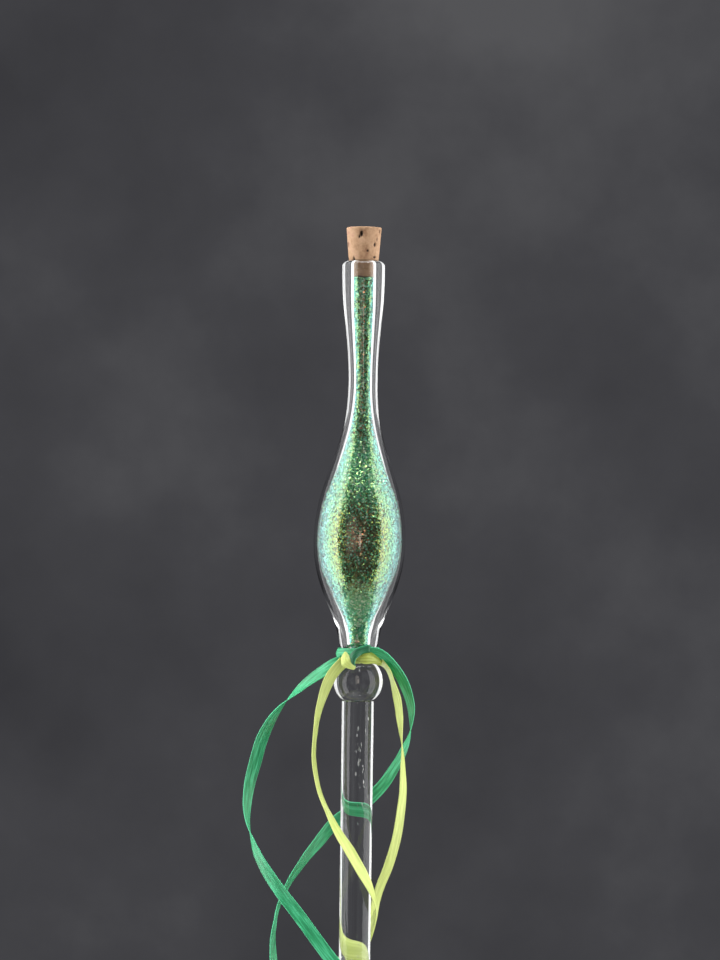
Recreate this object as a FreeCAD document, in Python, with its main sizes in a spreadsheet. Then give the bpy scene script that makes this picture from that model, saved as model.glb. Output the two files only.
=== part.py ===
"""Glitter wand: a solid glass rod and ball knop under a blown glass vial, corked over a fill of
glitter, with two satin ribbons tied round its waist.

Millimetres, +Z up. The origin is at the lower end of the handle, on the wand's axis. The knots are
on the -Y side.
"""

import FreeCAD, Part
import math
import os

import Sketcher
from FreeCAD import Vector

# Each driving dimension, in mm, under the alias that the features are bound to. A "level" is a
# height above the handle's lower end. A "sweep" is the radius of a long arc of an outline.
DIMENSIONS = {
    # solid glass handle
    "grip_radius": 3.88,
    "grip_end_round": 3.0,
    "grip_top_level": 48.0,
    "handle_top_radius": 3.97,
    "handle_top_level": 131.4,
    # solid glass ball knop
    "knop_radius": 6.15,
    "knop_level": 136.75,
    "knop_lower_fillet": 0.8,
    "knop_upper_fillet": 1.0,
    # waist, where the vial is fused to the knop
    "waist_radius": 4.15,
    "waist_level": 143.3,
    "waist_groove_level": 143.9,
    "waist_groove_sweep": 1.5,
    # outside of the vial
    "foot_level": 139.0,
    "foot_sweep": 40.9,
    "bulb_radius": 11.48,
    "bulb_level": 171.6,
    "bulb_lower_sweep": 34.8,
    "bulb_upper_sweep": 44.0,
    "neck_radius": 3.58,
    "neck_level": 211.3,
    "neck_lower_sweep": 55.5,
    "neck_upper_sweep": 100.0,
    "lip_radius": 5.32,
    "lip_level": 239.6,
    "lip_sweep": 120.0,
    "lip_round": 1.2,
    "lip_top_level": 241.6,
    # inside of the vial
    "channel_radius": 2.45,
    "channel_level": 146.8,
    "channel_sweep": 12.45,
    "cavity_radius": 10.7,
    "cavity_lower_sweep": 25.0,
    "cavity_upper_sweep": 36.0,
    "bore_radius": 1.9,
    "bore_lower_sweep": 57.0,
    "bore_upper_sweep": 140.0,
    "mouth_radius": 2.62,
    "mouth_level": 234.0,
    "mouth_sweep": 140.0,
    "mouth_round": 1.1,
    "cavity_overrun": 1.0,
    # top of the glitter
    "fill_top_level": 237.5,
    # cork, and how far it is from the mouth that it jams in
    "cork_base_level": 237.7,
    "cork_top_radius": 4.4,
    "cork_top_level": 250.0,
    "cork_gap": 0.16,
    # ribbons round the waist
    "wrap_outer_radius": 5.3,
    "green_wrap_inner_radius": 4.8,
    "green_wrap_level": 143.3,
    "green_wrap_height": 1.7,
    "lime_wrap_inner_radius": 4.5,
    "lime_wrap_level": 141.5,
    "lime_wrap_height": 1.8,
    # knots: centre and half-sizes
    "green_knot_x": 0.2,
    "green_knot_y": -6.1,
    "green_knot_level": 143.6,
    "green_knot_half_width": 1.5,
    "green_knot_half_depth": 1.3,
    "green_knot_half_height": 1.8,
    "lime_knot_x": -3.3,
    "lime_knot_y": -5.0,
    "lime_knot_level": 142.3,
    "lime_knot_half_width": 1.5,
    "lime_knot_half_depth": 1.2,
    "lime_knot_half_height": 1.8,
    # cylinder that cuts each knot's back to lie on the wraps
    "knot_seat_level": 139.0,
    "knot_seat_height": 8.0,
    # ribbon tails: a round tube with the section area of a 3.2 mm satin ribbon, 0.25 mm thick
    "tail_radius": 0.5,
}

# The centreline of each ribbon tail, from the knot to its cut end: points chosen by hand.
GREEN_RIGHT_ROUTE = [
    (0.9, -6.3, 144.2),
    (3.9, -6.0, 144.9),
    (7.0, -4.8, 142.9),
    (9.8, -3.2, 139.5),
    (12.1, -1.7, 135.2),
    (13.4, -0.4, 130.4),
    (13.4, 0.8, 125.4),
    (12.2, 2.4, 120.4),
    (9.6, 4.4, 115.8),
    (6.5, 6.0, 111.4),
    (2.9, 6.9, 107.6),
    (-1.3, 6.9, 104.5),
    (-5.2, 6.2, 101.1),
    (-8.7, 5.0, 96.6),
    (-12.4, 3.7, 92.2),
    (-15.7, 2.4, 87.6),
    (-18.4, 1.3, 82.6),
    (-20.0, 0.5, 77.0),
    (-20.6, 0.1, 71.0),
    (-20.2, 0.4, 65.0),
    (-19.0, 1.3, 59.6),
    (-17.6, 2.6, 55.0),
]
GREEN_LEFT_ROUTE = [
    (-4.6, -2.7, 144.1),
    (-7.5, -3.1, 142.1),
    (-10.9, -2.9, 138.6),
    (-14.5, -2.3, 135.1),
    (-18.3, -1.4, 131.4),
    (-21.6, -0.5, 127.0),
    (-23.9, 0.3, 122.0),
    (-25.4, 0.9, 116.5),
    (-26.8, 1.1, 110.8),
    (-27.6, 0.8, 105.1),
    (-26.9, 0.0, 99.4),
    (-24.8, -1.3, 93.6),
    (-21.6, -2.7, 88.2),
    (-17.9, -4.1, 83.5),
    (-14.0, -5.3, 78.9),
    (-10.2, -6.4, 74.0),
    (-6.4, -7.1, 69.0),
    (-2.4, -7.3, 64.6),
    (1.8, -6.9, 60.8),
    (5.6, -5.8, 56.6),
    (8.4, -4.4, 52.0),
]
LIME_LEFT_ROUTE = [
    (-3.6, -5.4, 141.9),
    (-5.8, -5.5, 139.8),
    (-7.6, -4.8, 136.5),
    (-9.2, -3.8, 131.8),
    (-10.2, -3.0, 126.7),
    (-10.8, -2.6, 121.3),
    (-10.7, -2.6, 115.8),
    (-9.7, -3.1, 110.4),
    (-7.6, -4.2, 105.2),
    (-4.7, -5.5, 99.9),
    (-1.4, -6.4, 94.9),
    (1.8, -6.2, 89.6),
    (4.6, -4.8, 85.2),
    (6.1, -1.9, 81.6),
    (6.0, 1.4, 78.6),
    (4.7, 4.5, 75.2),
    (1.9, 6.2, 71.2),
    (-1.3, 6.8, 67.3),
    (-4.7, 6.4, 63.4),
    (-7.2, 5.2, 58.6),
]
LIME_RIGHT_ROUTE = [
    (4.7, -2.7, 142.3),
    (7.0, -3.0, 140.9),
    (8.5, -3.1, 137.5),
    (9.8, -2.9, 133.0),
    (10.5, -2.5, 127.8),
    (11.0, -2.2, 122.3),
    (11.4, -1.8, 116.6),
    (11.6, -1.1, 110.9),
    (11.3, -0.1, 105.3),
    (10.6, 1.1, 99.8),
    (9.6, 2.5, 94.6),
    (8.2, 4.1, 89.8),
    (6.4, 5.7, 85.2),
    (5.0, 7.0, 80.4),
    (3.8, 8.0, 75.6),
    (1.6, 8.6, 71.0),
    (-1.4, 8.8, 66.8),
    (-3.9, 8.5, 62.2),
    (-5.4, 7.8, 57.0),
]

ARC_SHARE = 0.45  # of the shorter run beside a point, taken up by the arc that rounds it

doc = FreeCAD.newDocument("glitter_wand")
sheet = doc.addObject("Spreadsheet::Sheet", "sheet")
for row, (alias, size) in enumerate(DIMENSIONS.items(), start=1):
    sheet.set(f"A{row}", alias)
    sheet.set(f"B{row}", str(size))
    sheet.setAlias(f"B{row}", alias)
doc.recompute()

parts = []


def size_of(alias):
    return float(sheet.get(alias))


def keep(part, label):
    """Names a finished sub-part and lists it for writing."""
    part.Label = label
    parts.append(part)
    return part


class Outline:
    """A closed half-outline in a new body's XZ plane, x the radius and y the level."""

    def __init__(self, body, name):
        self.sketch = body.newObject("Sketcher::SketchObject", name)
        plane = next(f for f in body.Origin.OriginFeatures if f.Role == "XZ_Plane")
        self.sketch.AttachmentSupport = [(plane, "")]
        self.sketch.MapMode = "FlatFace"
        self.first_point = None
        self.pen = None  # (x, y) of the free end
        self.free_end = None  # (geometry index, vertex) of the free end

    def bind(self, *constraint, to):
        index = self.sketch.addConstraint(Sketcher.Constraint(*constraint))
        self.sketch.setExpression(f"Constraints[{index}]", to)

    def add(self, *constraint):
        self.sketch.addConstraint(Sketcher.Constraint(*constraint))

    def place(self, index, vertex, radius=None, level=None):
        """Binds a vertex's radius or level to an expression of the sheet's cells."""
        point = self.sketch.getPoint(index, vertex)
        if radius:
            self.bind("DistanceX", -1, 1, index, vertex, point.x, to=radius)
        if level:
            self.bind("DistanceY", -1, 1, index, vertex, point.y, to=level)

    def join(self, index, vertex, smooth):
        if self.free_end is None:
            self.first_point = (index, vertex)
        else:
            self.add("Tangent" if smooth else "Coincident", *self.free_end, index, vertex)

    def start(self, x, y):
        self.pen = (x, y)
        return self

    def line(self, x, y, smooth=False, along=None, **places):
        """A line to x, y. along is Horizontal or Vertical."""
        index = self.sketch.addGeometry(
            Part.LineSegment(Vector(*self.pen, 0), Vector(x, y, 0)), False
        )
        self.join(index, 1, smooth)
        if along:
            self.add(along, index)
        self.place(index, 2, **places)
        self.pen, self.free_end = (x, y), (index, 2)
        return index

    def arc(self, centre, x, y, turn, smooth=False, sweep=None, **places):
        """An arc about centre to x, y. turn is 1 if it runs anticlockwise, or -1."""
        radius = math.dist(centre, self.pen)
        circle = Part.Circle(Vector(*centre, 0), Vector(0, 0, 1), radius)
        ends = [self.pen, (x, y)][::turn]
        angles = [math.atan2(b - centre[1], a - centre[0]) for a, b in ends]
        if angles[1] < angles[0]:
            angles[1] += 2 * math.pi
        index = self.sketch.addGeometry(Part.ArcOfCircle(circle, *angles), False)
        near, far = (1, 2) if turn == 1 else (2, 1)
        self.join(index, near, smooth)
        if sweep:
            self.bind("Radius", index, radius, to=sweep)
        self.place(index, far, **places)
        self.pen, self.free_end = (x, y), (index, far)
        return index

    def level_with(self, arc, index, vertex):
        """Puts an arc's centre level with a vertex, so that the wall there is upright."""
        self.add("Horizontal", arc, 3, index, vertex)

    def close(self, at_origin=False):
        """Ends the outline with a line down the axis to its first point."""
        start = self.sketch.getPoint(*self.first_point)
        index = self.line(start.x, start.y, along="Vertical")
        self.add("Coincident", index, 2, *self.first_point)
        if at_origin:
            self.add("Coincident", index, 2, -1, 1)
        else:
            self.add("PointOnObject", index, 2, -2)
        return self.sketch


def wall_between(from_centre, from_sweep, to_centre, to_sweep, side):
    """Where the straight wall between two arcs that curve opposite ways touches each of them.

    Two such lines cross between the arcs: side is 1 or -1, for the one on that side of the way
    from the first centre to the second.
    """
    across, up = (to - start for start, to in zip(from_centre, to_centre))
    lean = math.acos((from_sweep + to_sweep) / math.hypot(across, up))
    bearing = math.atan2(up, across) + side * lean
    along = (math.cos(bearing), math.sin(bearing))
    leave = [c + from_sweep * a for c, a in zip(from_centre, along)]
    arrive = [c - to_sweep * a for c, a in zip(to_centre, along)]
    return leave, arrive


def span(outline, start, end, aliases):
    """An arc, a line that touches both arcs, and an arc, between two upright stretches of wall.

    start and end are (radius, level, sweep). The wall is upright at both. The narrower end's arc
    has its centre outside the wall, and the wider end's has it inside.
    aliases are those of start's sweep, and of end's sweep, radius and level.
    """
    rises = 1 if end[1] > start[1] else -1
    widens = 1 if end[0] > start[0] else -1
    from_centre = (start[0] + widens * start[2], start[1])
    to_centre = (end[0] - widens * end[2], end[1])
    turn = -widens * rises
    leave, arrive = wall_between(from_centre, start[2], to_centre, end[2], -turn)
    first = outline.arc(from_centre, *leave, turn, sweep=aliases[0])
    outline.level_with(first, first, 1 if turn == 1 else 2)
    outline.line(*arrive, smooth=True)
    last = outline.arc(
        to_centre, *end[:2], -turn, smooth=True, sweep=aliases[1], radius=aliases[2],
        level=aliases[3],
    )
    outline.level_with(last, last, 2 if turn == -1 else 1)


def new_body(name):
    return doc.addObject("PartDesign::Body", name)


def turn_about_axis(body, sketch, kind):
    """Revolves a half-outline about Z: kind is Revolution, or Groove to cut."""
    feature = body.newObject(f"PartDesign::{kind}", f"{body.Name}_{kind.lower()}")
    feature.Profile = sketch
    feature.ReferenceAxis = (sketch, ["V_Axis"])
    feature.Angle = 360.0
    sketch.Visibility = False
    body.Tip = feature
    return feature


def make_handle():
    """The solid rod: a straight grip, fire-polished round at its end, then a slight flare."""
    body = new_body("handle")
    grip, grip_top = size_of("grip_radius"), size_of("grip_top_level")
    rounding, top = size_of("grip_end_round"), size_of("handle_top_level")
    outline = Outline(body, "handle_outline").start(0, 0)
    outline.line(grip - rounding, 0, along="Horizontal")
    outline.arc(
        (grip - rounding, rounding), grip, rounding, 1, smooth=True, sweep="sheet.grip_end_round"
    )
    outline.line(
        grip, grip_top, smooth=True, along="Vertical", radius="sheet.grip_radius",
        level="sheet.grip_top_level",
    )
    outline.line(
        size_of("handle_top_radius"), top, radius="sheet.handle_top_radius",
        level="sheet.handle_top_level",
    )
    outline.line(0, top, along="Horizontal")
    turn_about_axis(body, outline.close(at_origin=True), "Revolution")
    return keep(body, "glass_handle")


def make_knop():
    """The solid ball between the handle and the waist, with a fused fillet to each."""
    body = new_body("knop")
    rod, waist, ball = (size_of(f"{n}_radius") for n in ("handle_top", "waist", "knop"))
    low, middle, top = (size_of(f"{n}_level") for n in ("handle_top", "knop", "waist"))
    lower, upper = size_of("knop_lower_fillet"), size_of("knop_upper_fillet")
    lower_centre = (rod + lower, middle - math.sqrt((ball + lower) ** 2 - (rod + lower) ** 2))
    upper_centre = (waist + upper, middle + math.sqrt((ball + upper) ** 2 - (waist + upper) ** 2))
    touch = [
        (centre[0] * ball / (ball + fillet), middle + (centre[1] - middle) * ball / (ball + fillet))
        for centre, fillet in ((lower_centre, lower), (upper_centre, upper))
    ]
    outline = Outline(body, "knop_outline").start(0, low)
    outline.line(
        rod, low, along="Horizontal", radius="sheet.handle_top_radius",
        level="sheet.handle_top_level",
    )
    outline.line(rod, lower_centre[1], along="Vertical")
    outline.arc(lower_centre, *touch[0], -1, smooth=True, sweep="sheet.knop_lower_fillet")
    sphere = outline.arc((0, middle), *touch[1], 1, smooth=True, sweep="sheet.knop_radius")
    outline.add("PointOnObject", sphere, 3, -2)
    outline.place(sphere, 3, level="sheet.knop_level")
    outline.arc(
        upper_centre, waist, upper_centre[1], -1, smooth=True, sweep="sheet.knop_upper_fillet"
    )
    outline.line(
        waist, top, smooth=True, along="Vertical", radius="sheet.waist_radius",
        level="sheet.waist_level",
    )
    outline.line(0, top, along="Horizontal")
    turn_about_axis(body, outline.close(), "Revolution")
    return keep(body, "glass_knop")


def groove_meets_foot(groove_centre, groove, foot_centre, foot):
    """The lower of the two points where the waist's groove runs into the vial's foot."""
    across, up = (f - g for f, g in zip(foot_centre, groove_centre))
    apart = math.hypot(across, up)
    along = (apart**2 + groove**2 - foot**2) / (2 * apart)
    aside = math.sqrt(groove**2 - along**2)
    x = groove_centre[0] + (along * across - aside * up) / apart
    y = groove_centre[1] + (along * up + aside * across) / apart
    return x, y


def vial_outside(body):
    """The outside of the vial, from the weld at the waist up to the lip."""
    waist, level = size_of("waist_radius"), size_of("waist_level")
    groove, groove_level = size_of("waist_groove_sweep"), size_of("waist_groove_level")
    foot, foot_level = size_of("foot_sweep"), size_of("foot_level")
    lip, lip_top = size_of("lip_radius"), size_of("lip_top_level")
    rounding = size_of("lip_round")
    groove_centre, foot_centre = (waist + groove, groove_level), (waist + foot, foot_level)
    meeting = groove_meets_foot(groove_centre, groove, foot_centre, foot)

    outline = Outline(body, "vial_outline").start(0, level)
    outline.line(
        waist, level, along="Horizontal", radius="sheet.waist_radius", level="sheet.waist_level"
    )
    outline.line(waist, groove_level, along="Vertical", level="sheet.waist_groove_level")
    outline.arc(groove_centre, *meeting, -1, smooth=True, sweep="sheet.waist_groove_sweep")

    bulb, swell = (size_of("bulb_radius"), size_of("bulb_level")), size_of("bulb_lower_sweep")
    bulb_centre = (bulb[0] - swell, bulb[1])
    leave, arrive = wall_between(foot_centre, foot, bulb_centre, swell, 1)
    foot_arc = outline.arc(foot_centre, *leave, -1, sweep="sheet.foot_sweep")
    outline.place(
        foot_arc, 3, radius="sheet.waist_radius + sheet.foot_sweep", level="sheet.foot_level"
    )
    outline.line(*arrive, smooth=True)
    bulb_arc = outline.arc(
        bulb_centre, *bulb, 1, smooth=True, sweep="sheet.bulb_lower_sweep",
        radius="sheet.bulb_radius", level="sheet.bulb_level",
    )
    outline.level_with(bulb_arc, bulb_arc, 2)

    neck = (size_of("neck_radius"), size_of("neck_level"))
    span(
        outline, (*bulb, size_of("bulb_upper_sweep")), (*neck, size_of("neck_lower_sweep")),
        ("sheet.bulb_upper_sweep", "sheet.neck_lower_sweep", "sheet.neck_radius",
         "sheet.neck_level"),
    )
    span(
        outline, (*neck, size_of("neck_upper_sweep")),
        (lip, size_of("lip_level"), size_of("lip_sweep")),
        ("sheet.neck_upper_sweep", "sheet.lip_sweep", "sheet.lip_radius", "sheet.lip_level"),
    )
    outline.line(lip, lip_top - rounding, along="Vertical")
    outline.arc(
        (lip - rounding, lip_top - rounding), lip - rounding, lip_top, 1, smooth=True,
        sweep="sheet.lip_round",
    )
    outline.line(0, lip_top, smooth=True, along="Horizontal", level="sheet.lip_top_level")
    return outline.close()


def cavity_outline(body, name):
    """The inside of the vial, from its round bottom up to the mouth, left open at the top."""
    channel, mouth = size_of("channel_radius"), size_of("mouth_radius")
    level, mouth_level = size_of("channel_level"), size_of("mouth_level")
    outline = Outline(body, name).start(0, level - channel)
    bottom = outline.arc(
        (0, level), channel, level, 1, radius="sheet.channel_radius", level="sheet.channel_level"
    )
    outline.add("PointOnObject", bottom, 3, -2)
    outline.level_with(bottom, bottom, 2)
    cavity = (size_of("cavity_radius"), size_of("bulb_level"))
    bore = (size_of("bore_radius"), size_of("neck_level"))
    span(
        outline, (channel, level, size_of("channel_sweep")),
        (*cavity, size_of("cavity_lower_sweep")),
        ("sheet.channel_sweep", "sheet.cavity_lower_sweep", "sheet.cavity_radius",
         "sheet.bulb_level"),
    )
    span(
        outline, (*cavity, size_of("cavity_upper_sweep")), (*bore, size_of("bore_lower_sweep")),
        ("sheet.cavity_upper_sweep", "sheet.bore_lower_sweep", "sheet.bore_radius",
         "sheet.neck_level"),
    )
    span(
        outline, (*bore, size_of("bore_upper_sweep")),
        (mouth, mouth_level, size_of("mouth_sweep")),
        ("sheet.bore_upper_sweep", "sheet.mouth_sweep", "sheet.mouth_radius",
         "sheet.mouth_level"),
    )
    return outline


def make_vial():
    """The blown vial: a closed foot, a bulb and a long neck with a rounded lip."""
    body = new_body("vial")
    turn_about_axis(body, vial_outside(body), "Revolution")
    mouth, rounding = size_of("mouth_radius"), size_of("mouth_round")
    top, over = size_of("lip_top_level"), size_of("cavity_overrun")
    outline = cavity_outline(body, "cavity_outline")
    outline.line(mouth, top - rounding, along="Vertical")
    outline.arc(
        (mouth + rounding, top - rounding), mouth + rounding, top, -1, smooth=True,
        sweep="sheet.mouth_round", level="sheet.lip_top_level",
    )
    outline.line(
        mouth + rounding, top + over, along="Vertical",
        radius="sheet.mouth_radius + sheet.mouth_round",
        level="sheet.lip_top_level + sheet.cavity_overrun",
    )
    outline.line(0, top + over, along="Horizontal")
    turn_about_axis(body, outline.close(), "Groove")
    return keep(body, "glass_vial")


def make_glitter():
    """The packed glitter, which fills the cavity from its bottom to just under the cork."""
    body = new_body("glitter")
    outline = cavity_outline(body, "glitter_outline")
    mouth, top = size_of("mouth_radius"), size_of("fill_top_level")
    outline.line(mouth, top, along="Vertical", level="sheet.fill_top_level")
    outline.line(0, top, along="Horizontal")
    turn_about_axis(body, outline.close(), "Revolution")
    return keep(body, "glitter_fill")


def make_cork():
    """A tapered stopper: its end is squeezed into the mouth, and its cone stands on the lip."""
    body = new_body("cork")
    gap, low, high = size_of("cork_gap"), size_of("cork_base_level"), size_of("cork_top_level")
    mouth, rounding, lip = size_of("mouth_radius"), size_of("mouth_round"), size_of("lip_top_level")
    outline = Outline(body, "cork_outline").start(0, low)
    outline.line(mouth - gap, low, along="Horizontal", level="sheet.cork_base_level")
    outline.line(
        mouth - gap, lip - rounding, along="Vertical", radius="sheet.mouth_radius - sheet.cork_gap",
        level="sheet.lip_top_level - sheet.mouth_round",
    )
    outline.arc(
        (mouth + rounding, lip - rounding), mouth + rounding, lip + gap, -1, smooth=True,
        sweep="sheet.mouth_round + sheet.cork_gap",
        radius="sheet.mouth_radius + sheet.mouth_round",
    )
    outline.line(
        size_of("cork_top_radius"), high, radius="sheet.cork_top_radius",
        level="sheet.cork_top_level",
    )
    outline.line(0, high, along="Horizontal")
    turn_about_axis(body, outline.close(), "Revolution")
    return keep(body, "cork_stopper")


def cylinder(name, radius, height, level):
    solid = doc.addObject("Part::Cylinder", name)
    solid.setExpression("Radius", radius)
    solid.setExpression("Height", height)
    solid.setExpression("Placement.Base.z", level)
    return solid


def make_wrap(colour):
    """The turns of one ribbon round the waist, as a band that clears the glass."""
    height, level = f"sheet.{colour}_wrap_height", f"sheet.{colour}_wrap_level"
    wrap = doc.addObject("Part::Cut", f"{colour}_wrap")
    wrap.Base = cylinder(f"{colour}_wrap_outside", "sheet.wrap_outer_radius", height, level)
    wrap.Tool = cylinder(
        f"{colour}_wrap_inside", f"sheet.{colour}_wrap_inner_radius", height, level
    )
    return keep(wrap, f"{colour}_ribbon_wrap")


def make_knot(colour):
    """One ribbon's knot, a rounded lump that lies on the front of both wraps."""
    lump = doc.addObject("Part::Ellipsoid", f"{colour}_lump")
    lump.setExpression("Radius1", f"sheet.{colour}_knot_half_height")
    lump.setExpression("Radius2", f"sheet.{colour}_knot_half_width")
    lump.setExpression("Radius3", f"sheet.{colour}_knot_half_depth")
    lump.setExpression("Placement.Base.x", f"sheet.{colour}_knot_x")
    lump.setExpression("Placement.Base.y", f"sheet.{colour}_knot_y")
    lump.setExpression("Placement.Base.z", f"sheet.{colour}_knot_level")
    knot = doc.addObject("Part::Cut", f"{colour}_knot")
    knot.Base = lump
    knot.Tool = cylinder(
        f"{colour}_knot_seat", "sheet.wrap_outer_radius", "sheet.knot_seat_height",
        "sheet.knot_seat_level",
    )
    return keep(knot, f"{colour}_ribbon_knot")


def rounded_path(route):
    """Straight runs along a route, joined by tangent arcs, and the arcs' radii."""
    points = [Vector(*point) for point in route]
    edges, radii, pen = [], [], points[0]
    for before, here, after in zip(points, points[1:], points[2:]):
        back, on = (before - here).normalize(), (after - here).normalize()
        cut = ARC_SHARE * min((before - here).Length, (after - here).Length)
        half_turn = (math.pi - back.getAngle(on)) / 2
        radii.append(cut / math.tan(half_turn))
        enter, leave = here + back * cut, here + on * cut
        to_centre = (back + on).normalize()
        middle = here + to_centre * (radii[-1] / math.cos(half_turn) - radii[-1])
        edges.append(Part.LineSegment(pen, enter).toShape())
        edges.append(Part.Arc(enter, middle, leave).toShape())
        pen = leave
    edges.append(Part.LineSegment(pen, points[-1]).toShape())
    return Part.Wire(edges), radii


def make_tail(label, route):
    """One loose ribbon end, as a tube of the ribbon's own section area along its route."""
    radius = size_of("tail_radius")
    path, radii = rounded_path(route)
    start, onward = Vector(*route[0]), Vector(*route[1]) - Vector(*route[0])
    section = Part.Wire([Part.Circle(start, onward, radius).toShape()])
    tail = doc.addObject("Part::Feature", label)
    tail.Shape = path.makePipeShell([section], True, False)
    share = tail.Shape.Volume / (math.pi * radius**2 * path.Length)
    print(
        f"{label}: length {path.Length:.1f}, volume {share:.4f} of section x length, "
        f"radii {' '.join(f'{r:.1f}' for r in radii)}"
    )
    return keep(tail, label)


def write_parts():
    """Checks every object and writes each sub-part's STEP file."""
    doc.recompute()
    for thing in doc.Objects:
        assert not {"Invalid", "Error"} & set(thing.State), f"{thing.Name} failed: {thing.State}"
    os.makedirs("parts", exist_ok=True)
    for part in parts:
        shape = part.Shape
        assert not shape.isNull() and shape.isValid(), f"{part.Label} has no valid shape"
        shape.exportStep(f"parts/{part.Label}.step")
        print(f"{part.Label}: {shape.Volume:.1f} mm3, {len(shape.Solids)} solid")


make_handle()
make_knop()
make_vial()
make_glitter()
make_cork()
for ribbon in ("green", "lime"):
    make_wrap(ribbon)
    make_knot(ribbon)
make_tail("green_ribbon_right_tail", GREEN_RIGHT_ROUTE)
make_tail("green_ribbon_left_tail", GREEN_LEFT_ROUTE)
make_tail("lime_ribbon_left_tail", LIME_LEFT_ROUTE)
make_tail("lime_ribbon_right_tail", LIME_RIGHT_ROUTE)
write_parts()
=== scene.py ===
"""Looks of a glitter wand: one fused piece of clear glass, its fill of iridescent glitter, its
cork, and two satin ribbons tied round its waist. Metres, in the CAD's frame: +Z up the wand,
the ribbons' knots on -Y. Angles are in degrees, and routes, levels and widths in lists in mm.
"""

import math

import bpy
import numpy as np
from mathutils import Euler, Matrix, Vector


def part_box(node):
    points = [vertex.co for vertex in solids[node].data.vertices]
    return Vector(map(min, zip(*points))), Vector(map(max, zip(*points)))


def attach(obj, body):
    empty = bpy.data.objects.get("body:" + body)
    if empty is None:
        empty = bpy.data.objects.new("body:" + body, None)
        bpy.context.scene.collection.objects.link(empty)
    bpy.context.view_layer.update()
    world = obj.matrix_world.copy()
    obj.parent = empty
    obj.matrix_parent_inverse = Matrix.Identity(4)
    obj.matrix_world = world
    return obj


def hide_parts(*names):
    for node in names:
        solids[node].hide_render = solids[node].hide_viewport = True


MM = 0.001
RIBBON_WIDTH = 3.2 * MM
TOWARDS_CAMERA = Vector((0, -1, 0))

# Between these heights the flame has melted away the sharp changes in the outlines' curves.
OUTSIDE_MELTED = (0.146, 0.2385)
INSIDE_MELTED = (0.149, 0.239)
FILL_MELTED = (0.149, 0.2365)

# The film on the glitter: copper seen face on, then green, mint and pale blue as it turns away.
# Its thickness is in nanometres.
FILM = {"IOR": 4.0, "Thin_Film_IOR": 1.5, "Thin_Film_Thickness": 399.0}

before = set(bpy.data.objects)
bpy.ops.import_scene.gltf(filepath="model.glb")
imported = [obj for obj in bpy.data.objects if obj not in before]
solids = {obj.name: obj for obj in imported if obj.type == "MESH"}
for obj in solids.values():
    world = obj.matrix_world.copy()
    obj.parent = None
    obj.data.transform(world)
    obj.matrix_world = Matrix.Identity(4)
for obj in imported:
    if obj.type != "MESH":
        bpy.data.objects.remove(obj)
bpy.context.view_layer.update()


# ---------------------------------------------------------------- materials


def new_material(name, **settings):
    """A material with a Principled shader whose own sockets hold the settings."""
    material = bpy.data.materials.new(name)
    material.use_nodes = True
    shader = material.node_tree.nodes["Principled BSDF"]
    for socket, value in settings.items():
        shader.inputs[socket.replace("_", " ")].default_value = value
    return material, material.node_tree, shader


def add_node(tree, kind, settings=None, **sockets):
    """A node of that kind, with its properties and its sockets' values, or links into them."""
    node = tree.nodes.new(f"ShaderNode{kind}")
    for key, value in (settings or {}).items():
        setattr(node, key, value)
    for name, value in sockets.items():
        socket = node.inputs[name.replace("_", " ")]
        if isinstance(value, bpy.types.NodeSocket):
            tree.links.new(value, socket)
        else:
            socket.default_value = value
    return node


def ramp(tree, factor, *stops):
    """A colour ramp of (position, colour) stops, driven by factor."""
    node = add_node(tree, "ValToRGB", Fac=factor)
    elements = node.color_ramp.elements
    while len(elements) < len(stops):
        elements.new(0.5)
    for element, (position, colour) in zip(elements, stops):
        element.position = position
        element.color = (*colour, 1)
    return node.outputs["Color"]


def blended(tree, factor, first, second, blend_type="MIX"):
    """One colour over another, by a factor. Each is a number or colour, or a socket."""
    node = add_node(tree, "Mix", {"data_type": "RGBA", "blend_type": blend_type})
    factor_socket, first_socket, second_socket = (node.inputs[index] for index in (0, 6, 7))
    for socket, value in ((factor_socket, factor), (first_socket, first), (second_socket, second)):
        if isinstance(value, bpy.types.NodeSocket):
            tree.links.new(value, socket)
        elif socket == factor_socket:
            socket.default_value = value
        else:
            socket.default_value = (*value, 1)
    return node.outputs[2]


def object_place(tree):
    """The place on the object, which is also its place in the scene at rest."""
    return add_node(tree, "TexCoord").outputs["Object"]


def painted_glitter_light_level(tree):
    """The painted light level left on the glitter's points, by height."""
    return add_node(tree, "Attribute", {"attribute_name": "painted_light"}).outputs["Fac"]


def glass_material():
    """Clear borosilicate glass, with the faint waves and smudges of handling."""
    material, tree, shader = new_material(
        "clear_glass", Transmission_Weight=1.0, IOR=1.47, Base_Color=(0.985, 0.995, 0.99, 1)
    )
    place = object_place(tree)
    smudge = add_node(tree, "TexNoise", Vector=place, Scale=260.0, Detail=4.0)
    roughness = add_node(
        tree, "MapRange", Value=smudge.outputs["Fac"], From_Min=0.55, From_Max=0.85,
        To_Min=0.0, To_Max=0.045,
    )
    tree.links.new(roughness.outputs["Result"], shader.inputs["Roughness"])
    wave = add_node(tree, "TexNoise", Vector=place, Scale=90.0, Detail=1.0)
    bump = add_node(tree, "Bump", Height=wave.outputs["Fac"], Strength=0.12, Distance=0.05 * MM)
    tree.links.new(bump.outputs["Normal"], shader.inputs["Normal"])
    return material


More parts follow.
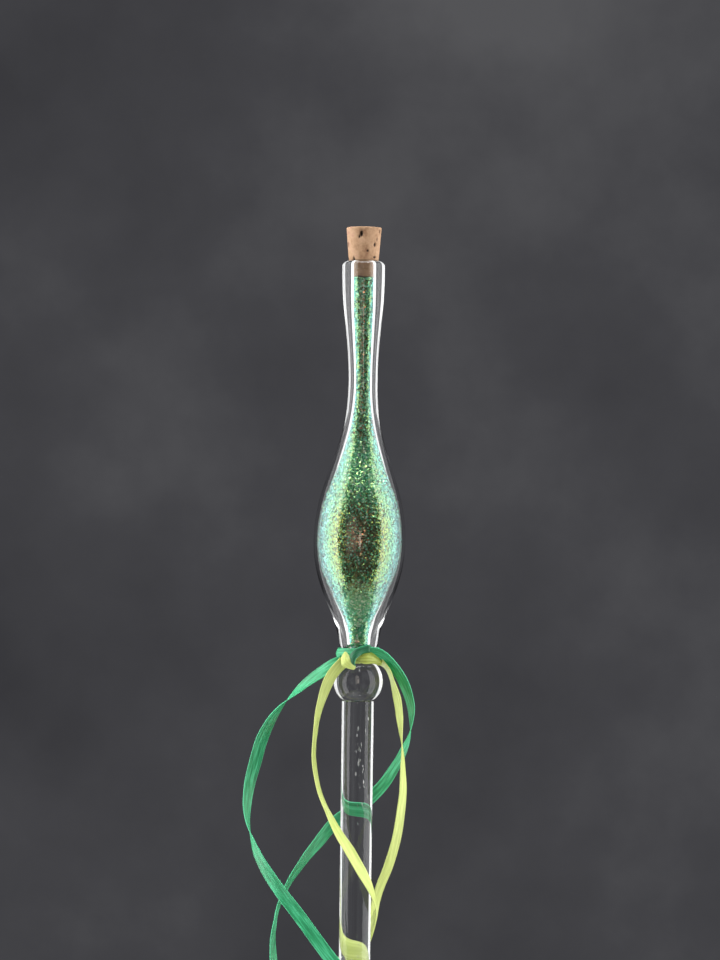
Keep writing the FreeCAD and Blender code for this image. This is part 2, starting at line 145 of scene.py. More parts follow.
def flake_material():
    """Iridescent film flakes: a dark green base under a film whose colour turns with the angle, and
    a base painted lighter where the points carry painted light.
    """
    material, tree, shader = new_material("iridescent_flakes", **FILM)
    chance = add_node(tree, "NewGeometry").outputs["Random Per Island"]
    colour = ramp(
        tree, chance, (0.0, (0.004, 0.04, 0.022)), (0.4, (0.01, 0.14, 0.07)),
        (0.75, (0.02, 0.32, 0.17)), (0.9, (0.06, 0.55, 0.32)), (0.94, (0.5, 0.95, 0.78)),
    )
    painted_lit_colour = ramp(
        tree, chance, (0.1, (0.03, 0.42, 0.22)), (0.6, (0.18, 0.85, 0.58)),
        (0.9, (0.65, 1.0, 0.92)),
    )
    # painted light: where the points carry it, the base turns to lighter, paler greens
    tree.links.new(blended(tree, painted_glitter_light_level(tree), colour, painted_lit_colour), shader.inputs["Base Color"])
    roughness = add_node(tree, "MapRange", Value=chance, To_Min=0.06, To_Max=0.24)
    tree.links.new(roughness.outputs["Result"], shader.inputs["Roughness"])
    return material


def packed_glitter_material():
    """The glitter behind the outer flakes: cells that each face their own way."""
    material, tree, shader = new_material("packed_glitter", Roughness=0.25, **FILM)
    place = object_place(tree)
    cells = add_node(tree, "TexVoronoi", Vector=place, Scale=3200.0)
    colour = ramp(
        tree, cells.outputs["Color"], (0.0, (0.003, 0.025, 0.015)), (0.6, (0.008, 0.1, 0.05)),
        (1.0, (0.03, 0.35, 0.18)),
    )
    # painted light: where the points carry it, the colour turns to a lighter green
    coloured = blended(tree, painted_glitter_light_level(tree), colour, (0.05, 0.55, 0.3))
    tree.links.new(coloured, shader.inputs["Base Color"])
    most_tilt = 0.25
    tilt = add_node(tree, "VectorMath", {"operation": "MULTIPLY_ADD"})
    tree.links.new(cells.outputs["Color"], tilt.inputs[0])
    tilt.inputs[1].default_value = [2 * most_tilt] * 3
    tilt.inputs[2].default_value = [-most_tilt] * 3
    facing = add_node(tree, "VectorMath", {"operation": "ADD"})
    tree.links.new(add_node(tree, "NewGeometry").outputs["Normal"], facing.inputs[0])
    tree.links.new(tilt.outputs["Vector"], facing.inputs[1])
    straight = add_node(tree, "VectorMath", {"operation": "NORMALIZE"})
    tree.links.new(facing.outputs["Vector"], straight.inputs[0])
    tree.links.new(straight.outputs["Vector"], shader.inputs["Normal"])
    return material


def cork_material():
    """Natural cork: tan with pinkish patches, fine grain and dark pores."""
    material, tree, shader = new_material("natural_cork", Roughness=0.85)
    place = object_place(tree)
    patches = add_node(tree, "TexNoise", Vector=place, Scale=420.0, Detail=5.0, Roughness=0.6)
    tan = ramp(
        tree, patches.outputs["Fac"], (0.3, (0.27, 0.135, 0.07)), (0.48, (0.46, 0.275, 0.155)),
        (0.6, (0.53, 0.33, 0.2)), (0.75, (0.44, 0.22, 0.155)),
    )
    grain = add_node(tree, "TexVoronoi", Vector=place, Scale=2600.0)
    fine = ramp(tree, grain.outputs["Distance"], (0.0, (0.72, 0.72, 0.72)), (0.5, (1, 1, 1)))
    grained = blended(tree, 0.5, tan, fine, "MULTIPLY")
    pores = add_node(tree, "Attribute", {"attribute_name": "pore"}).outputs["Fac"]
    darkened = blended(tree, pores, grained, (0.018, 0.008, 0.005))
    tree.links.new(darkened, shader.inputs["Base Color"])
    bump = add_node(
        tree, "Bump", Height=patches.outputs["Fac"], Strength=0.5, Distance=0.25 * MM
    )
    tree.links.new(bump.outputs["Normal"], shader.inputs["Normal"])
    return material


def satin_material(name, shade, body, light):
    """Satin ribbon: lengthwise threads, painted sheen that drifts along them as streaks of shade
    and highlight, and paler selvedges.
    """
    material, tree, shader = new_material(
        name, Anisotropic=0.6, Sheen_Weight=0.15, Sheen_Roughness=0.35, Specular_IOR_Level=0.7
    )
    shader.inputs["Sheen Tint"].default_value = (*light, 1)
    strip = add_node(tree, "UVMap", {"uv_map": "strip"}).outputs["UV"]
    along = add_node(tree, "Mapping", Vector=strip)
    along.inputs["Scale"].default_value = (8, 0.45, 1)
    drift = add_node(tree, "TexNoise", Vector=along.outputs["Vector"], Scale=1.0, Detail=3.0)
    # painted sheen: noise along the ribbon picks darker shade and lighter highlight colours
    colour = ramp(tree, drift.outputs["Fac"], (0.28, shade), (0.48, body), (0.72, light))
    across = add_node(tree, "SeparateXYZ", Vector=strip).outputs["X"]
    edge = ramp(
        tree, across, (0.0, (1, 1, 1)), (0.05, (0, 0, 0)), (0.95, (0, 0, 0)), (1.0, (1, 1, 1))
    )
    tree.links.new(blended(tree, edge, colour, light), shader.inputs["Base Color"])
    threads = add_node(
        tree, "TexWave", {"bands_direction": "X"}, Vector=strip, Scale=14.0, Distortion=1.5,
        Detail=2.0,
    )
    bump = add_node(
        tree, "Bump", Height=threads.outputs["Fac"], Strength=0.2, Distance=0.03 * MM
    )
    tree.links.new(bump.outputs["Normal"], shader.inputs["Normal"])
    roughness = add_node(tree, "MapRange", Value=drift.outputs["Fac"], To_Min=0.3, To_Max=0.5)
    tree.links.new(roughness.outputs["Result"], shader.inputs["Roughness"])
    return material


# ---------------------------------------------------------------- meshes


def new_piece(name, points, faces, material, smooth=True):
    """An object in the scene, from points, faces and a material."""
    mesh = bpy.data.meshes.new(name)
    mesh.from_pydata([tuple(p) for p in points], [], faces)
    mesh.materials.append(material)
    mesh.polygons.foreach_set("use_smooth", [smooth] * len(mesh.polygons))
    mesh.update()
    piece = bpy.data.objects.new(name, mesh)
    bpy.context.scene.collection.objects.link(piece)
    return piece


def wall(node, side):
    """(radius, height) of the rings of a turned solid's wall, from the lowest up.

    side is 1 for its outer wall and -1 for its inner one.
    """
    slope = 0.02  # faces that are flatter than this belong to neither wall
    mesh = solids[node].data
    found = set()
    for face in mesh.polygons:
        out = Vector((face.center.x, face.center.y, 0)).normalized()
        if face.normal.dot(out) * side > slope:
            for index in face.vertices:
                spot = mesh.vertices[index].co
                found.add((round(spot.z, 6), round(math.hypot(spot.x, spot.y), 6)))
    heights = sorted({height for height, _ in found})
    widest = {height: 0.0 for height in heights}
    for height, radius in found:
        widest[height] = max(widest[height], radius)
    return [(widest[height], height) for height in heights]


def turned(outline, segments):
    """Points and faces of a surface turned about Z from (radius, height) pairs."""
    angles = np.linspace(0, 2 * math.pi, segments, endpoint=False)
    ring = np.stack([np.cos(angles), np.sin(angles)], 1)
    points, rows = [], []
    for radius, height in outline:
        if radius < 1e-7:  # on the axis: one point stands for the whole ring
            rows.append([len(points)] * segments)
            points.append((0, 0, height))
        else:
            rows.append(list(range(len(points), len(points) + segments)))
            points += [(x * radius, y * radius, height) for x, y in ring]
    faces = []
    for low, high in zip(rows, rows[1:]):
        for here in range(segments):
            on = (here + 1) % segments
            corners = [low[here], low[on], high[on], high[here]]
            faces.append(tuple(dict.fromkeys(corners)))
    return np.array(points), faces


def fire_polished(outline, start, end):
    """The outline with the sharp changes of curvature between those heights melted away."""
    step, reach, spread = 0.4 * MM, 8, 3.0
    radius, height = np.array(outline).T
    levels = np.arange(start, end, step)
    wide = np.interp(levels, height, radius)
    weight = np.exp(-((np.arange(-reach, reach + 1) / spread) ** 2))
    before = 2 * wide[0] - wide[reach:0:-1]
    after = 2 * wide[-1] - wide[-2 : -2 - reach : -1]
    padded = np.concatenate([before, wide, after])
    melted = np.convolve(padded, weight / weight.sum(), "valid")
    below = [(r, h) for r, h in outline if h < start]
    above = [(r, h) for r, h in outline if h > end]
    return below + list(zip(melted.tolist(), levels.tolist())) + above


def hand_drawn(points):
    """Moves glass or its fill off the axis a little, as a vial drawn out by hand is."""
    heights = np.array([143.3, 158.0, 172.0, 192.0, 212.0, 228.0, 241.6]) * MM
    drift = np.array([0.0, -0.08, -0.14, 0.06, 0.26, 0.1, 0.0]) * MM
    moved = points.copy()
    moved[:, 0] += np.interp(points[:, 2], heights, drift)
    return moved


def seeds(rng):
    """Small stretched air bubbles inside the solid handle and knop, as closed hollows."""
    hollow, faces = turned(
        [(math.sin(a), -math.cos(a)) for a in np.linspace(0, math.pi, 7)], 8
    )
    hollow[[0, -1], :2] = 0
    inside_out = [face[::-1] for face in faces]
    all_points, all_faces, start = [], [], 0
    scattered, clustered = 60, 26
    low, high, cluster_level = 20, 139, 115
    for number in range(scattered + clustered):
        width, length = rng.uniform(0.03, 0.07) * MM, rng.uniform(0.1, 0.5) * MM
        reach, turn = 3.1 * MM * math.sqrt(rng.random()), rng.uniform(0, 2 * math.pi)
        centre = (reach * math.cos(turn), reach * math.sin(turn), rng.uniform(low, high) * MM)
        if number >= scattered:
            width, length = 1.5 * width, 1.4 * length
            centre = (
                rng.normal(0.4, 0.7) * MM, rng.uniform(-3, 1) * MM,
                rng.normal(cluster_level, 6) * MM,
            )
        all_points.append(hollow * (width, width, length) + centre)
        all_faces += [tuple(i + start for i in face) for face in inside_out]
        start += len(hollow)
    return np.vstack(all_points), all_faces


def make_glass(material):
    """Handle, knop and vial as the one fused piece that they are."""
    outline = [(0.0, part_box("glass_handle")[0].z)]
    for node in ("glass_handle", "glass_knop", "glass_vial"):
        outline += [p for p in wall(node, 1) if p[1] > outline[-1][1] + 1e-6]
    outline = fire_polished(outline, *OUTSIDE_MELTED)
    outline += fire_polished(wall("glass_vial", -1), *INSIDE_MELTED)[::-1]
    outline.append((0.0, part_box("glitter_fill")[0].z))
    points, faces = turned(outline, 144)
    points = hand_drawn(points)
    bubbles, bubble_faces = seeds(np.random.default_rng(11))
    faces += [tuple(i + len(points) for i in face) for face in bubble_faces]
    glass = new_piece("glass_body", np.vstack([points, bubbles]), faces, material)
    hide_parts("glass_handle", "glass_knop", "glass_vial")
    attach(glass, "wand")


def painted_glitter_light(height, radius):
    """How much painted light lightens the glitter there: most at the foot, and some high in the
    bulb and neck.
    """
    narrow, least_in_narrow = 3.2 * MM, 0.35
    levels = np.array([149, 157, 161, 177, 183, 189, 194, 199]) * MM
    share = np.interp(height, levels, [1.0, 0.9, 0.05, 0.0, 0.55, 0.8, 0.75, 0.25])
    return np.where(radius < narrow, np.maximum(share, least_in_narrow), share)


def leave_painted_glitter_light(piece, height, radius):
    """Puts the painted light level on each point of the piece, for its material."""
    level = piece.data.attributes.new("painted_light", "FLOAT", "POINT")
    level.data.foreach_set("value", painted_glitter_light(height, radius).astype(np.float32))


def make_glitter(flakes_material, packed_material):
    """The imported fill: a rough core, and flakes that lie against the glass all over it."""
    rng = np.random.default_rng(5)
    gap = 0.26 * MM
    outline = fire_polished(wall("glitter_fill", 1), *FILL_MELTED)
    radius, height = np.array(outline).T
    bottom, top = height[0], height[-1]
    inner = [(0.0, bottom + gap)]
    inner += [(r - gap, max(h, bottom + gap)) for r, h in outline if r > 2 * gap]
    inner += [(0.0, top)]
    points, faces = turned(inner, 96)
    core = new_piece("packed_glitter", hand_drawn(points), faces, packed_material)
    # painted light on the core's points, by height
    leave_painted_glitter_light(core, points[:, 2], np.hypot(points[:, 0], points[:, 1]))
    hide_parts("glitter_fill")
    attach(core, "wand")

    # an even scatter over the wall, and the directions along, up and out of it at each flake
    count, sides = 26000, 6
    run = np.hypot(np.diff(radius), np.diff(height))
    share = np.concatenate([[0], np.cumsum(run * (radius[1:] + radius[:-1]))])
    spot = np.interp(rng.random(count) * share[-1], share, np.arange(len(radius)))
    step = np.minimum(spot.astype(int), len(radius) - 2)
    part = spot - step
    r = radius[step] + part * np.diff(radius)[step]
    h = height[step] + part * np.diff(height)[step]
    rise = np.stack([np.diff(radius)[step], np.diff(height)[step]], 1) / run[step, None]
    turn = rng.uniform(0, 2 * math.pi, count)
    cos, sin = np.cos(turn), np.sin(turn)
    out = np.stack([rise[:, 1] * cos, rise[:, 1] * sin, -rise[:, 0]], 1)
    up = np.stack([rise[:, 0] * cos, rise[:, 0] * sin, rise[:, 1]], 1)
    side = np.cross(out, up)

    # flakes lie flat on the wide bulb, and every way in the narrow neck and the upper bulb
    narrow, neck_level = 3.5 * MM, 0.19
    size = rng.uniform(0.16, 0.3, count) * MM
    levels = np.array([150, 160, 168, 176, 182, 188, 196]) * MM
    upper = np.interp(h, levels, [0.8, 0.5, 0.35, 0.35, 0.8, 0.85, 0.65])
    loose = rng.random(count) < np.where((r < narrow) & (h > neck_level), 0.85, upper)
    wild = np.interp(h, np.array([174, 180, 188, 196]) * MM, [26, 40, 44, 30])
    tilt = np.radians(np.where(loose, rng.normal(0, wild), rng.normal(0, 5, count)))
    lean = rng.uniform(0, 2 * math.pi, count)[:, None]
    toward = np.cos(lean) * side + np.sin(lean) * up
    beside = np.cross(out, toward)
    slant = toward * np.cos(tilt)[:, None] - out * np.sin(tilt)[:, None]
    depth = 0.03 * MM + size * np.abs(np.sin(tilt)) + rng.exponential(0.03 * MM, count)
    centre = np.stack([r * cos, r * sin, h], 1) - out * depth[:, None]
    spin = rng.uniform(0, 2 * math.pi, count)
    corners = []
    for corner in range(sides):
        a = (spin + corner * 2 * math.pi / sides)[:, None]
        corners.append(centre + size[:, None] * (np.cos(a) * slant + np.sin(a) * beside))
    points = np.stack(corners, 1).reshape(-1, 3)
    faces = np.arange(count * sides).reshape(-1, sides).tolist()
    flakes = new_piece("glitter_flakes", hand_drawn(points), faces, flakes_material, smooth=False)
    # painted light on the flakes' points, by height
    leave_painted_glitter_light(flakes, np.repeat(h, sides), np.repeat(r, sides))
    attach(flakes, "wand")


def make_cork(material):
    """The tapered stopper, with pores and a slightly worn top edge."""
    low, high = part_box("cork_stopper")
    rng = np.random.default_rng(3)
    rounding, rings, segments = 0.1 * MM, 100, 168
    radius, height = np.array(wall("cork_stopper", 1)).T
    levels = np.linspace(low.z, high.z, rings)
    wide = np.interp(levels, height, radius)
    base, top = wide[0], wide[-1]
    outline = [(r, low.z) for r in np.linspace(0, base - rounding, 10)]
    outline += list(zip(wide[1:-1], levels[1:-1]))
    outline += [(r, high.z) for r in np.linspace(top - rounding, 0, 22)]
    points, faces = turned(outline, segments)

    # pores as (bearing from -Y towards +X, height, width, length, depth)
    pores = [
        (-9, 248.3, 0.42, 0.8, 0.7), (-16, 247.5, 0.22, 0.4, 0.35), (43, 245.6, 0.3, 0.5, 0.4),
        (14, 244.0, 0.24, 0.26, 0.3), (46, 242.5, 0.4, 0.3, 0.3), (52, 247.0, 0.15, 0.5, 0.2),
    ]
    pores += [
        (rng.uniform(65, 330), rng.uniform(239, 249.2), rng.uniform(0.12, 0.4),
         rng.uniform(0.2, 0.8), rng.uniform(0.15, 0.6))
        for _ in range(20)
    ]
    bearing = np.degrees(np.arctan2(points[:, 0], -points[:, 1]))
    across = np.hypot(points[:, 0], points[:, 1])
    hollow, dark = np.zeros(len(points)), np.zeros(len(points))
    for angle, level, width, length, depth in pores:
        aside = np.radians((bearing - angle + 180) % 360 - 180) * across / (width * MM)
        away = aside**2 + ((points[:, 2] - level * MM) / (length * MM)) ** 2
        near = np.exp(-(away**1.5)) * (across > 0.8 * base)  # not on the two ends' middles
        hollow = np.maximum(hollow, near * depth * MM)
        dark = np.maximum(dark, near)
    roughness = np.abs(rng.normal(0, 0.018 * MM, len(points)))
    shrink = 1 - (hollow + roughness) / np.maximum(across, base)
    points[:, :2] *= shrink[:, None]
    cork = new_piece("cork", points, faces, material)
    pore = cork.data.attributes.new("pore", "FLOAT", "POINT")
    pore.data.foreach_set("value", np.clip(dark * 1.3, 0, 1).astype(np.float32))
    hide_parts("cork_stopper")
    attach(cork, "stopper")


# ---------------------------------------------------------------- ribbons

BAND_POINTS = 15

# Each tail's route, with its face's turn: 0 faces the camera, 90 is edge on.
GREEN_RIGHT = [
    (0.9, -6.3, 144.2, -30), (3.9, -6.0, 144.9, -40), (7.0, -4.8, 142.9, -43),
    (9.8, -3.2, 139.5, -38), (12.1, -1.7, 135.2, -40), (13.4, -0.4, 130.4, -55),
    (13.4, 0.8, 125.4, -85), (12.2, 2.4, 120.4, -122), (9.7, 4.4, 115.0, -142),
    (6.6, 6.0, 110.0, -157), (2.9, 6.9, 106.0, -165), (-1.3, 6.9, 103.3, -165),
    (-5.2, 6.2, 101.1, -160), (-8.7, 5.0, 96.6, -155), (-12.4, 3.7, 92.2, -135),
    (-15.7, 2.4, 87.6, -120), (-18.4, 1.3, 82.6, -106), (-20.0, 0.5, 77.0, -100),
    (-20.6, 0.1, 71.0, -112), (-20.2, 0.4, 65.0, -125), (-19.0, 1.3, 59.6, -140),
    (-17.6, 2.6, 55.0, -150),
]
GREEN_LEFT = [
    (-3.8, -4.3, 141.9, -10), (-5.6, -4.2, 141.2, -15), (-7.5, -3.8, 140.3, -30),
    (-10.9, -3.1, 137.9, -42),
    (-14.5, -2.3, 135.1, -60), (-18.3, -1.4, 131.4, -98), (-21.6, -0.5, 127.0, -133),
    (-23.9, 0.3, 122.0, -157), (-25.4, 0.9, 116.5, -163), (-26.8, 1.1, 110.8, -148),
    (-27.6, 0.8, 105.1, -127), (-26.9, 0.0, 99.4, -92), (-24.8, -1.3, 93.6, -50),
    (-21.6, -2.7, 88.2, -24), (-17.9, -4.1, 83.5, -10), (-14.0, -5.3, 78.9, 0),
    (-10.2, -6.4, 74.0, 4), (-6.4, -7.1, 69.0, 8), (-2.4, -7.3, 64.6, 15),
    (1.8, -6.9, 60.8, 25), (5.6, -5.8, 56.6, 40), (8.4, -4.4, 52.0, 55),
]
LIME_LEFT = [
    (-3.6, -5.4, 141.9, 25), (-5.8, -5.5, 139.8, 30), (-7.6, -4.8, 136.5, 34),
    (-9.2, -3.8, 131.8, 54), (-10.2, -3.0, 126.7, 70), (-10.8, -2.6, 121.3, 76),
    (-10.7, -2.6, 115.8, 74), (-9.7, -3.1, 110.4, 76), (-7.6, -4.2, 105.2, 76),
    (-4.7, -5.5, 99.9, 57), (-1.4, -6.4, 94.9, 42), (1.8, -6.2, 89.6, 44),
    (4.0, -4.8, 85.2, 66), (5.2, -1.9, 81.6, 84), (5.2, 1.4, 78.6, 96),
    (4.3, 4.5, 75.2, 120), (1.9, 6.2, 71.2, 145), (-1.3, 6.8, 67.3, 160),
    (-4.7, 6.4, 63.4, 165), (-7.2, 5.2, 58.6, 160),
]
LIME_RIGHT = [
    (4.7, -2.7, 142.3, -50), (7.0, -3.0, 140.9, -70), (8.5, -3.1, 137.5, -74),
    (9.8, -2.9, 133.0, -54), (10.5, -2.5, 127.8, -60), (11.0, -2.2, 122.3, -86),
    (11.4, -1.8, 116.6, -108), (11.6, -1.1, 110.9, -121), (11.3, -0.1, 105.3, -130),
    (10.6, 1.1, 99.8, -134), (9.6, 2.5, 94.6, -138), (8.2, 4.1, 89.8, -139),
    (6.4, 5.7, 85.2, -137), (5.0, 7.0, 80.0, -130), (4.2, 8.0, 74.6, -138),
    (2.4, 8.7, 69.6, -155), (-0.4, 9.0, 65.2, -165), (-3.2, 8.6, 60.8, -170),
    (-5.2, 7.8, 56.4, -165),
]


def smooth_line(route, steps):
    """Points along the NURBS spline of a route, and each one's place on it in control points."""
    curve = bpy.data.curves.new("route", "CURVE")
    curve.dimensions = "3D"
    spline = curve.splines.new("NURBS")
    spline.points.add(len(route) - 1)
    for point, spot in zip(spline.points, route):
        point.co = (*(MM * x for x in spot[:3]), 1)
    spline.order_u = 3
    spline.use_endpoint_u = True
    spline.resolution_u = steps
    holder = bpy.data.objects.new("route", curve)
    bpy.context.scene.collection.objects.link(holder)
    bpy.context.view_layer.update()
    mesh = bpy.data.meshes.new_from_object(holder)
    line = [v.co.copy() for v in mesh.vertices]
    bpy.data.objects.remove(holder)
    bpy.data.meshes.remove(mesh)
    spans = len(route) - 2
    middles = [0, *(k - 0.5 for k in range(1, spans + 1)), spans]
    places = np.interp(np.linspace(0, spans, len(line)), middles, np.arange(len(route)))
    return line, places


def strip(line, turns, widths, outward, cup, sway, rng, cut=0.0):
    """Points, faces and strip coordinates of a flat ribbon along a line.

    outward gives the way that the ribbon's face looks at a point where its turn is 0. cup is the
    rise of its middle, as a share of its width, and sway is what comes and goes along it.
    cut is the slant of its end, in widths.
    """
    across = np.array([-0.5, -0.475, -0.43, -0.3, -0.15, 0, 0.15, 0.3, 0.43, 0.475, 0.5])
    half = np.array([0.04, 0.13, 0.09, 0.08, 0.08, 0.08, 0.08, 0.08, 0.09, 0.13, 0.04]) * MM
    section = list(zip(across, half)) + list(zip(across[::-1], -half[::-1]))
    lengths = np.concatenate([[0], np.cumsum([(b - a).length for a, b in zip(line, line[1:])])])
    full_turn, slow, edge_ripple = 6.28, 2.1, 0.05 * MM
    phase, wave = rng.uniform(0, full_turn, 2), rng.uniform(7, 11) * MM
    points, coordinates = [], []
    for index, here in enumerate(line):
        before, after = line[max(index - 1, 0)], line[min(index + 1, len(line) - 1)]
        along = (after - before).normalized()
        face = outward(here)
        face = (face - along * face.dot(along)).normalized()
        wide = along.cross(face)
        turn = math.radians(turns[index])
        wide, face = (
            wide * math.cos(turn) + face * math.sin(turn),
            face * math.cos(turn) - wide * math.sin(turn),
        )
        width, length = widths[index], lengths[index]
        slant = cut * width * max(0.0, 1 - (lengths[-1] - length) / (2 * width))
        swell = width * (cup + sway * math.sin(length / wave * slow + phase[0]))
        for share, thick in section:
            edge = 4 * share * share  # 0 in the middle, 1 at either edge
            ripple = edge_ripple * edge * math.sin(length / wave * full_turn + phase[1])
            lift = swell * (1 - edge) + ripple + thick
            points.append(here + wide * (share * width) + face * lift + along * (slant * share))
            coordinates.append((share + 0.5, length / RIBBON_WIDTH))
    loop = len(section)
    faces = [
        (k * loop + j, k * loop + (j + 1) % loop, (k + 1) * loop + (j + 1) % loop,
         (k + 1) * loop + j)
        for k in range(len(line) - 1)
        for j in range(loop)
    ]
    faces.append(tuple(range(loop))[::-1])
    faces.append(tuple(range(len(points) - loop, len(points))))
    return points, faces, coordinates


def ribbon_piece(
    name, route, material, outward, cup=0.0, sway=0.05, widths=None, seed=0, cut=0.0
):
    """A ribbon piece along a route whose points carry turns, and the line that it follows."""
    line, places = smooth_line(route, 8)
    turns = np.interp(places, np.arange(len(route)), [spot[3] for spot in route])
    wide = [RIBBON_WIDTH] * len(line)
    if widths:
        wide = np.interp(places, np.arange(len(route)), widths) * MM
    points, faces, coordinates = strip(
        line, turns, wide, outward, cup, sway, np.random.default_rng(seed), cut
    )
    piece = new_piece(name, points, faces, material)
    layer = piece.data.uv_layers.new(name="strip")
    for loop in piece.data.loops:
        layer.data[loop.index].uv = coordinates[loop.vertex_index]
    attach(piece, "ribbons")
    return piece, line


def facing_camera(_):
    """The way that a tail's face looks where its turn is 0."""
    return TOWARDS_CAMERA.copy()


def make_tail(node, route, material, seed):
    """A ribbon's tail."""
    name = node.replace("ribbon", "satin")
    piece, line = ribbon_piece(name, route, material, facing_camera, seed=seed, cut=0.8)
    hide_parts(node)


def away_from_axis(place):
    """The way that a tie's face looks where its turn is 0."""
    return Vector((place.x, place.y, 0)).normalized()


def band(radius, level, sway, start):
    """The route of one turn round the waist, from a bearing from -Y towards +X."""
    swept, lean = 352, 0.6
    steps = range(BAND_POINTS)
    bearings = [math.radians(start - step * swept / (BAND_POINTS - 1)) for step in steps]
    return [
        (radius * math.sin(b), -radius * math.cos(b), level + sway * math.sin(b + lean), 0)
        for b in bearings
    ]


def make_tie(name, node, route, material, widths, cup, seed):
    """A ribbon's turn round the waist, or a piece of its knot."""
    piece, _ = ribbon_piece(
        name, route, material, away_from_axis, cup=cup, sway=0.02, widths=widths, seed=seed
    )
    if node:
        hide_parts(node)


def make_ties(green, green_painted_shade, lime, lime_painted_shade):
    """Both ribbons' turns round the waist and their knots in front, some knot pieces in satin
    painted darker as shade.
    """
    make_tie(
        "green_satin_turn", "green_ribbon_wrap", band(5.05, 143.6, sway=0.1, start=-8),
        green, widths=[3.1] * BAND_POINTS, cup=0.2, seed=5,
    )
    make_tie(
        "lime_satin_turn", "lime_ribbon_wrap", band(4.66, 142.4, sway=-0.15, start=6),
        lime, widths=[1.9] * BAND_POINTS, cup=0.0, seed=6,
    )
    # the green knot is in the green satin painted darker, as painted shade
    make_tie(
        "green_satin_knot", "green_ribbon_knot",
        [(-1.3, -5.8, 140.9, 25), (-1.6, -6.7, 141.8, 30), (-1.5, -7.2, 142.9, 20),
         (-0.8, -7.3, 144.0, 0), (0.6, -6.9, 144.9, -20), (2.6, -6.3, 145.2, -38)],
        green_painted_shade, widths=[1.5, 1.9, 2.0, 2.0, 2.2, 2.8], cup=0.28, seed=7,
    )
    make_tie(
        "lime_satin_fold", "lime_ribbon_knot",
        [(-0.9, -6.3, 140.3, 5), (-1.9, -6.7, 141.0, 0), (-2.9, -6.9, 141.9, -10),
         (-3.3, -6.5, 143.0, -15), (-3.2, -5.8, 144.3, -25)],
        lime, widths=[0.9, 1.9, 3.1, 2.2, 0.7], cup=0.22, seed=8,
    )
    # the lime loop is in the lime satin painted darker, as painted shade
    make_tie(
        "lime_satin_loop", None,
        [(-0.5, -5.7, 142.6, 0), (0.5, -6.3, 142.9, 10), (1.8, -6.4, 143.0, 5),
         (3.1, -5.8, 142.9, 0), (4.3, -4.7, 142.4, -10), (5.4, -3.5, 141.5, -25)],
        lime_painted_shade, widths=[0.8, 2.4, 3.1, 2.9, 1.9, 1.4], cup=0.28, seed=9,
    )


# ---------------------------------------------------------------- studio


def add_panel(name, place, aim, size, power, colour=(1, 1, 1)):
    """A rectangular soft light at place, turned to aim, unseen by the camera itself."""
    lamp = bpy.data.lights.new(name, "AREA")
    lamp.shape = "RECTANGLE"
    lamp.size, lamp.size_y = size
    lamp.energy = power
    lamp.color = colour
    panel = bpy.data.objects.new(name, lamp)
    panel.location = place
    panel.rotation_euler = (Vector(aim) - Vector(place)).to_track_quat("-Z", "Y").to_euler()
    panel.visible_camera = False
    bpy.context.scene.collection.objects.link(panel)


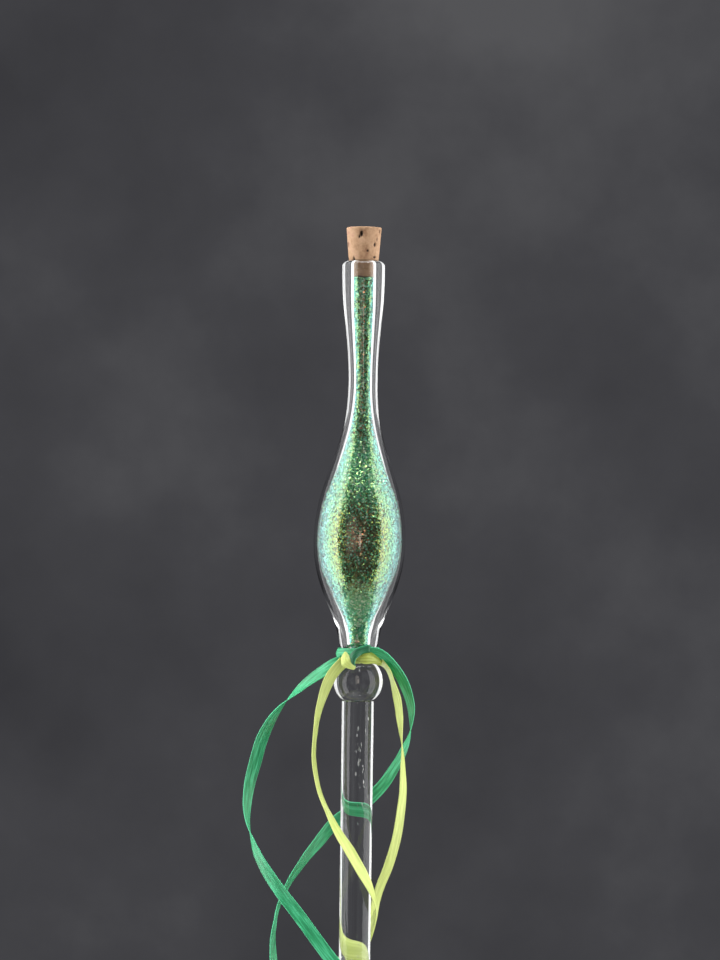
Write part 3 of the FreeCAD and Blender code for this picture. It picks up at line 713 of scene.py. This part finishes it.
def make_studio():
    """A plain pale floor, a dark cloth behind, and soft lights, tallest along each side."""
    world = bpy.data.worlds.new("studio")
    world.use_nodes = True
    tree = world.node_tree
    surround = tree.nodes["Background"]
    surround.inputs["Color"].default_value = (0.05, 0.05, 0.055, 1)
    fill = add_node(tree, "Background", Color=(1, 1, 1, 1), Strength=0.4)
    either = add_node(tree, "MixShader", Fac=add_node(tree, "LightPath").outputs["Is Diffuse Ray"])
    tree.links.new(surround.outputs["Background"], either.inputs[1])
    tree.links.new(fill.outputs["Background"], either.inputs[2])
    tree.links.new(either.outputs["Shader"], tree.nodes["World Output"].inputs["Surface"])
    bpy.context.scene.world = world
    bpy.context.scene.view_settings.view_transform = "Standard"

    floor_radius, floor_level = 0.13, -0.4 * MM
    points, faces = turned([(floor_radius, floor_level), (0.0, floor_level)], 96)
    pale, tree, shader = new_material("pale_floor", Roughness=0.9)
    mottle = add_node(tree, "TexNoise", Scale=9.0, Detail=3.0)
    tone = ramp(tree, mottle.outputs["Fac"], (0.3, (0.25, 0.25, 0.245)), (0.7, (0.28, 0.28, 0.275)))
    tree.links.new(tone, shader.inputs["Base Color"])
    new_piece("floor", points, faces, pale)

    cloth, tree, shader = new_material("charcoal_cloth", Roughness=1.0, Emission_Strength=1.0)
    shader.inputs["Base Color"].default_value = (0.01, 0.01, 0.011, 1)
    place = object_place(tree)
    broad = add_node(tree, "TexNoise", Vector=place, Scale=4.0, Detail=6.0, Roughness=0.55)
    tone = ramp(
        tree, broad.outputs["Fac"], (0.3, (0.026, 0.026, 0.03)), (0.5, (0.042, 0.042, 0.047)),
        (0.72, (0.075, 0.075, 0.08)),
    )
    tree.links.new(tone, shader.inputs["Emission Color"])
    behind, left, right, low, high = 1.1, -1.5, 1.5, -1.3, 1.7
    corners = [(left, low), (right, low), (right, high), (left, high)]
    corners = [(x, behind, z) for x, z in corners]
    new_piece("backdrop", corners, [(0, 1, 2, 3)], cloth)

    aside, middle, tall = 0.38, 0.19, 1.1
    for side, name, strength in ((-1, "left", 1.0), (1, "right", 0.86)):
        for part, depth, width, power in (("front", -0.05, 0.4, 3.9), ("rear", 0.25, 0.2, 0.8)):
            place = (aside * side, depth, middle)
            add_panel(
                f"{name}_{part}_panel", place, (0, depth, middle), (width, tall), power * strength
            )
    add_panel("top_panel", (0, -0.05, 0.85), (0, 0, 0.2), (0.5, 0.4), 6)
    add_panel("window_card", (-0.32, -0.85, 0.2), (0, 0, 0.18), (0.45, 0.5), 0.2)
    add_panel(
        "front_card", (0.02, -0.95, 0.17), (0, 0, 0.18), (0.1, 0.22), 0.17, (1.0, 0.88, 0.75)
    )


def make_camera():
    """A long lens, level with the bulb's foot, rolled so that the wand leans a little right."""
    camera = bpy.data.objects.new("camera", bpy.data.cameras.new("camera"))
    distance, view_height, level, aside, roll = 0.68, 0.24, 187 * MM, -0.2 * MM, -0.76
    camera.data.sensor_width = 36
    camera.data.lens = camera.data.sensor_width * distance / view_height
    camera.location = (aside, -distance, level)
    camera.rotation_euler = Euler((math.radians(90), math.radians(roll), 0))
    camera.data.clip_start = 0.01
    bpy.context.scene.collection.objects.link(camera)
    bpy.context.scene.camera = camera


green = satin_material("green_face", (0.008, 0.21, 0.08), (0.014, 0.35, 0.13), (0.1, 0.7, 0.35))
# copies of the green and lime satins painted darker, as painted shade for the knot and the lime
# loop
green_painted_shade = satin_material(
    "green_painted_shade", (0.003, 0.06, 0.025), (0.006, 0.13, 0.05), (0.03, 0.34, 0.15)
)
lime = satin_material("lime_face", (0.49, 0.59, 0.13), (0.6, 0.71, 0.17), (0.75, 0.85, 0.27))
lime_painted_shade = satin_material(
    "lime_painted_shade", (0.2, 0.24, 0.03), (0.38, 0.46, 0.06), (0.66, 0.76, 0.2)
)
make_camera()
make_tail("green_ribbon_right_tail", GREEN_RIGHT, green, 1)
make_tail("green_ribbon_left_tail", GREEN_LEFT, green, 2)
make_tail("lime_ribbon_left_tail", LIME_LEFT, lime, 3)
make_tail("lime_ribbon_right_tail", LIME_RIGHT, lime, 4)
make_ties(green, green_painted_shade, lime, lime_painted_shade)
make_glass(glass_material())
make_glitter(flake_material(), packed_glitter_material())
make_cork(cork_material())
make_studio()
